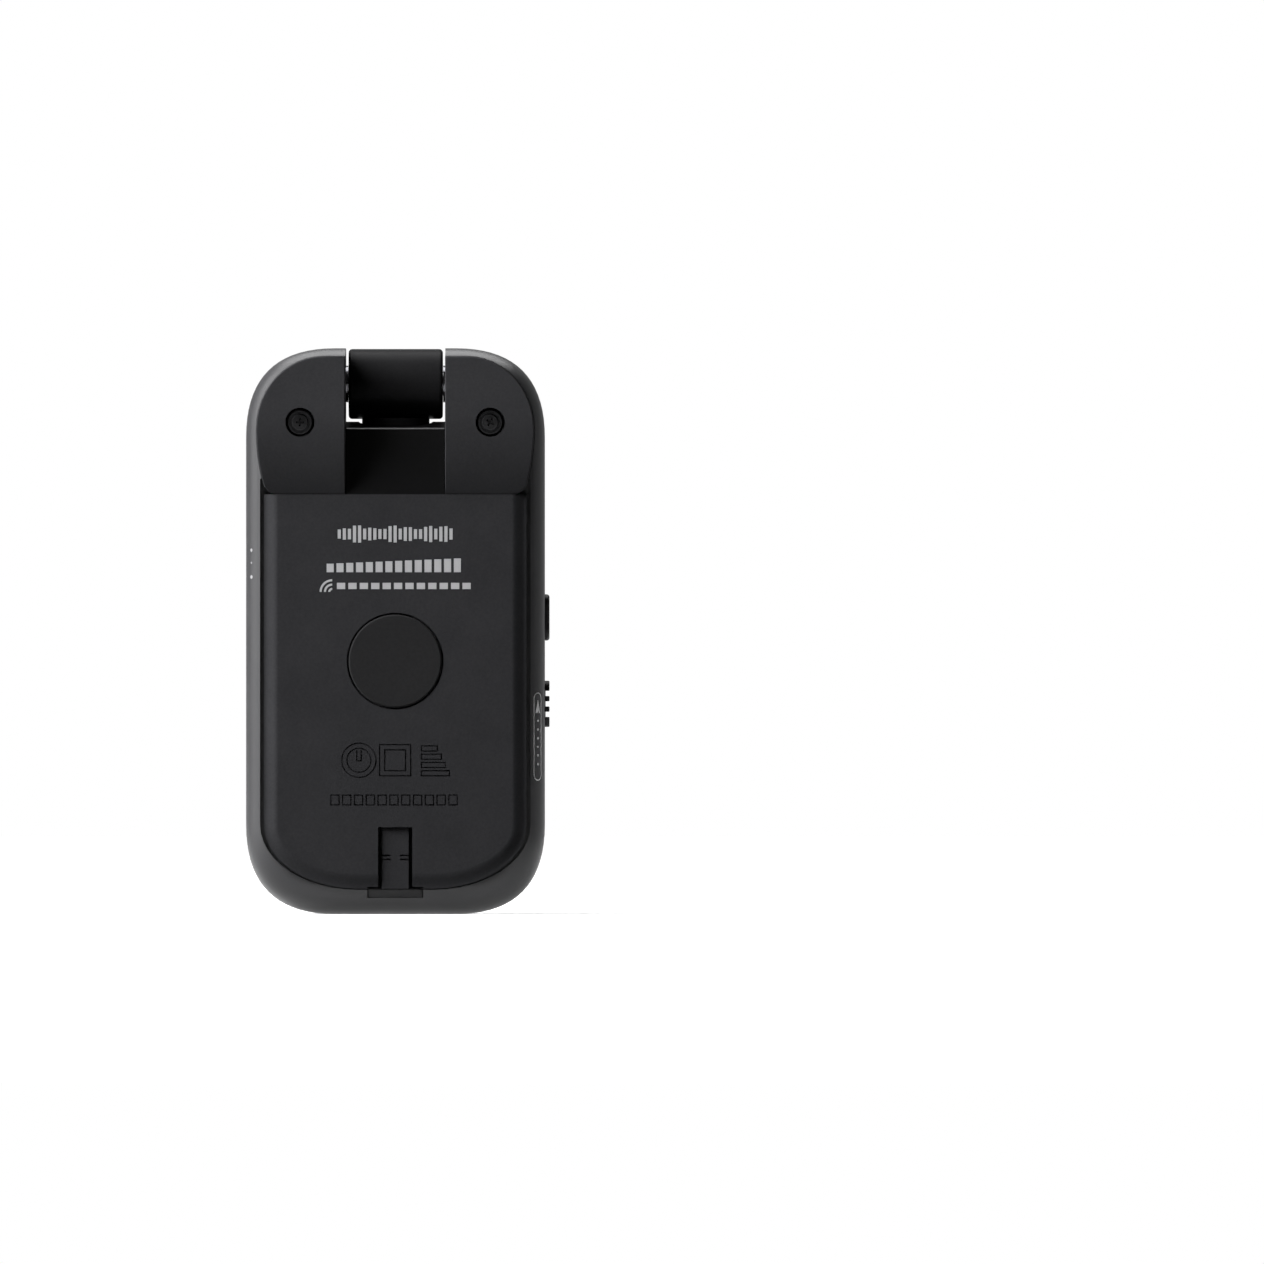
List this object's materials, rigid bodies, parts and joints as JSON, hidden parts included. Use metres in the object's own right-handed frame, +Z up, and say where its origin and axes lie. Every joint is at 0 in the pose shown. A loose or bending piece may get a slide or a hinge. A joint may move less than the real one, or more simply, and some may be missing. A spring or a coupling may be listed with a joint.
{
  "type": "wireless guitar transmitter",
  "caption": "Pocket transmitter with a plug that folds out of a channel in its front on a hinge at its end, a side button, a slide switch and a charging socket.",
  "frame": {"origin": "middle of the flat strip at the bottom end, between the straight side walls", "axes": "+Z up to the hinge end, -Y the back with the raised panel, +Y the front with the plug channel, +X the side with the button and slide switch"},
  "size_m": [0.0386, 0.018, 0.072],
  "materials": {
    "case_plastic": "satin black, moulded",
    "panel_plastic": "fine spark-textured black",
    "black_screw_steel": "black oxide",
    "pad_rubber": "matte silicone rubber",
    "battery_foil": "laminated foil",
    "foam_tape": "white foam tape",
    "red_wire": "insulated wire",
    "cream_plastic": "natural nylon",
    "board_laminate": "green solder mask",
    "bright_steel": "tin-plated steel",
    "chip_resin": "moulded epoxy",
    "contact_brass": "phosphor bronze",
    "lamp_resin": "lamp body",
    "clear_plastic": "clear polycarbonate",
    "dark_steel": "black nickel",
    "knuckle_plastic": "satin black nylon",
    "nickel_plate": "nickel plate on brass",
    "knob_plastic": "satin black"
  },
  "bodies": {
    "housing": {"front_shell": "case_plastic", "back_cover": "panel_plastic", "shoulder_cover": "panel_plastic", "shoulder_screws": "black_screw_steel", "back_pad": "pad_rubber", "battery": "battery_foil", "battery_tape": "foam_tape", "battery_leads": "red_wire", "battery_connector": "cream_plastic", "main_board": "board_laminate", "board_screws": "bright_steel", "shield_can": "bright_steel", "processor_chip": "chip_resin", "audio_chip": "chip_resin", "charger_chip": "chip_resin", "crystal": "bright_steel", "antenna": "contact_brass", "socket_shell": "bright_steel", "socket_tongue": "chip_resin", "tact_switch": "chip_resin", "slide_switch": "bright_steel", "status_lamps": "lamp_resin", "light_pipes": "clear_plastic", "hinge_axle": "bright_steel", "hinge_bushes": "dark_steel", "friction_washers": "bright_steel", "axle_clips": "dark_steel", "signal_leads": "red_wire"},
    "plug_body": {"plug_arm": "knuckle_plastic", "plug_flange": "nickel_plate", "plug_sleeve": "nickel_plate", "insulator_ring": "chip_resin", "plug_tip": "nickel_plate", "contact_rod": "contact_brass", "rod_insulator": "cream_plastic"},
    "button_body": {"button_cap": "knob_plastic", "switch_stem": "cream_plastic"},
    "knob_body": {"slide_knob": "knob_plastic", "switch_lever": "knob_plastic"}
  },
  "joints": [
    {"name": "plug_hinge", "type": "hinge", "parent": "housing", "child": "plug_body", "pos_m": [0, 0.0018, 0.0675], "axis": [1, 0, 0], "range_deg": [0, 280]},
    {"name": "side_button", "type": "slide", "parent": "housing", "child": "button_body", "axis": [-1, 0, 0], "range_m": [0, 0.0003], "stiffness_N_per_m": 1500},
    {"name": "slide_switch", "type": "slide", "parent": "housing", "child": "knob_body", "axis": [0, 0, -1], "range_m": [0, 0.002]}
  ]
}
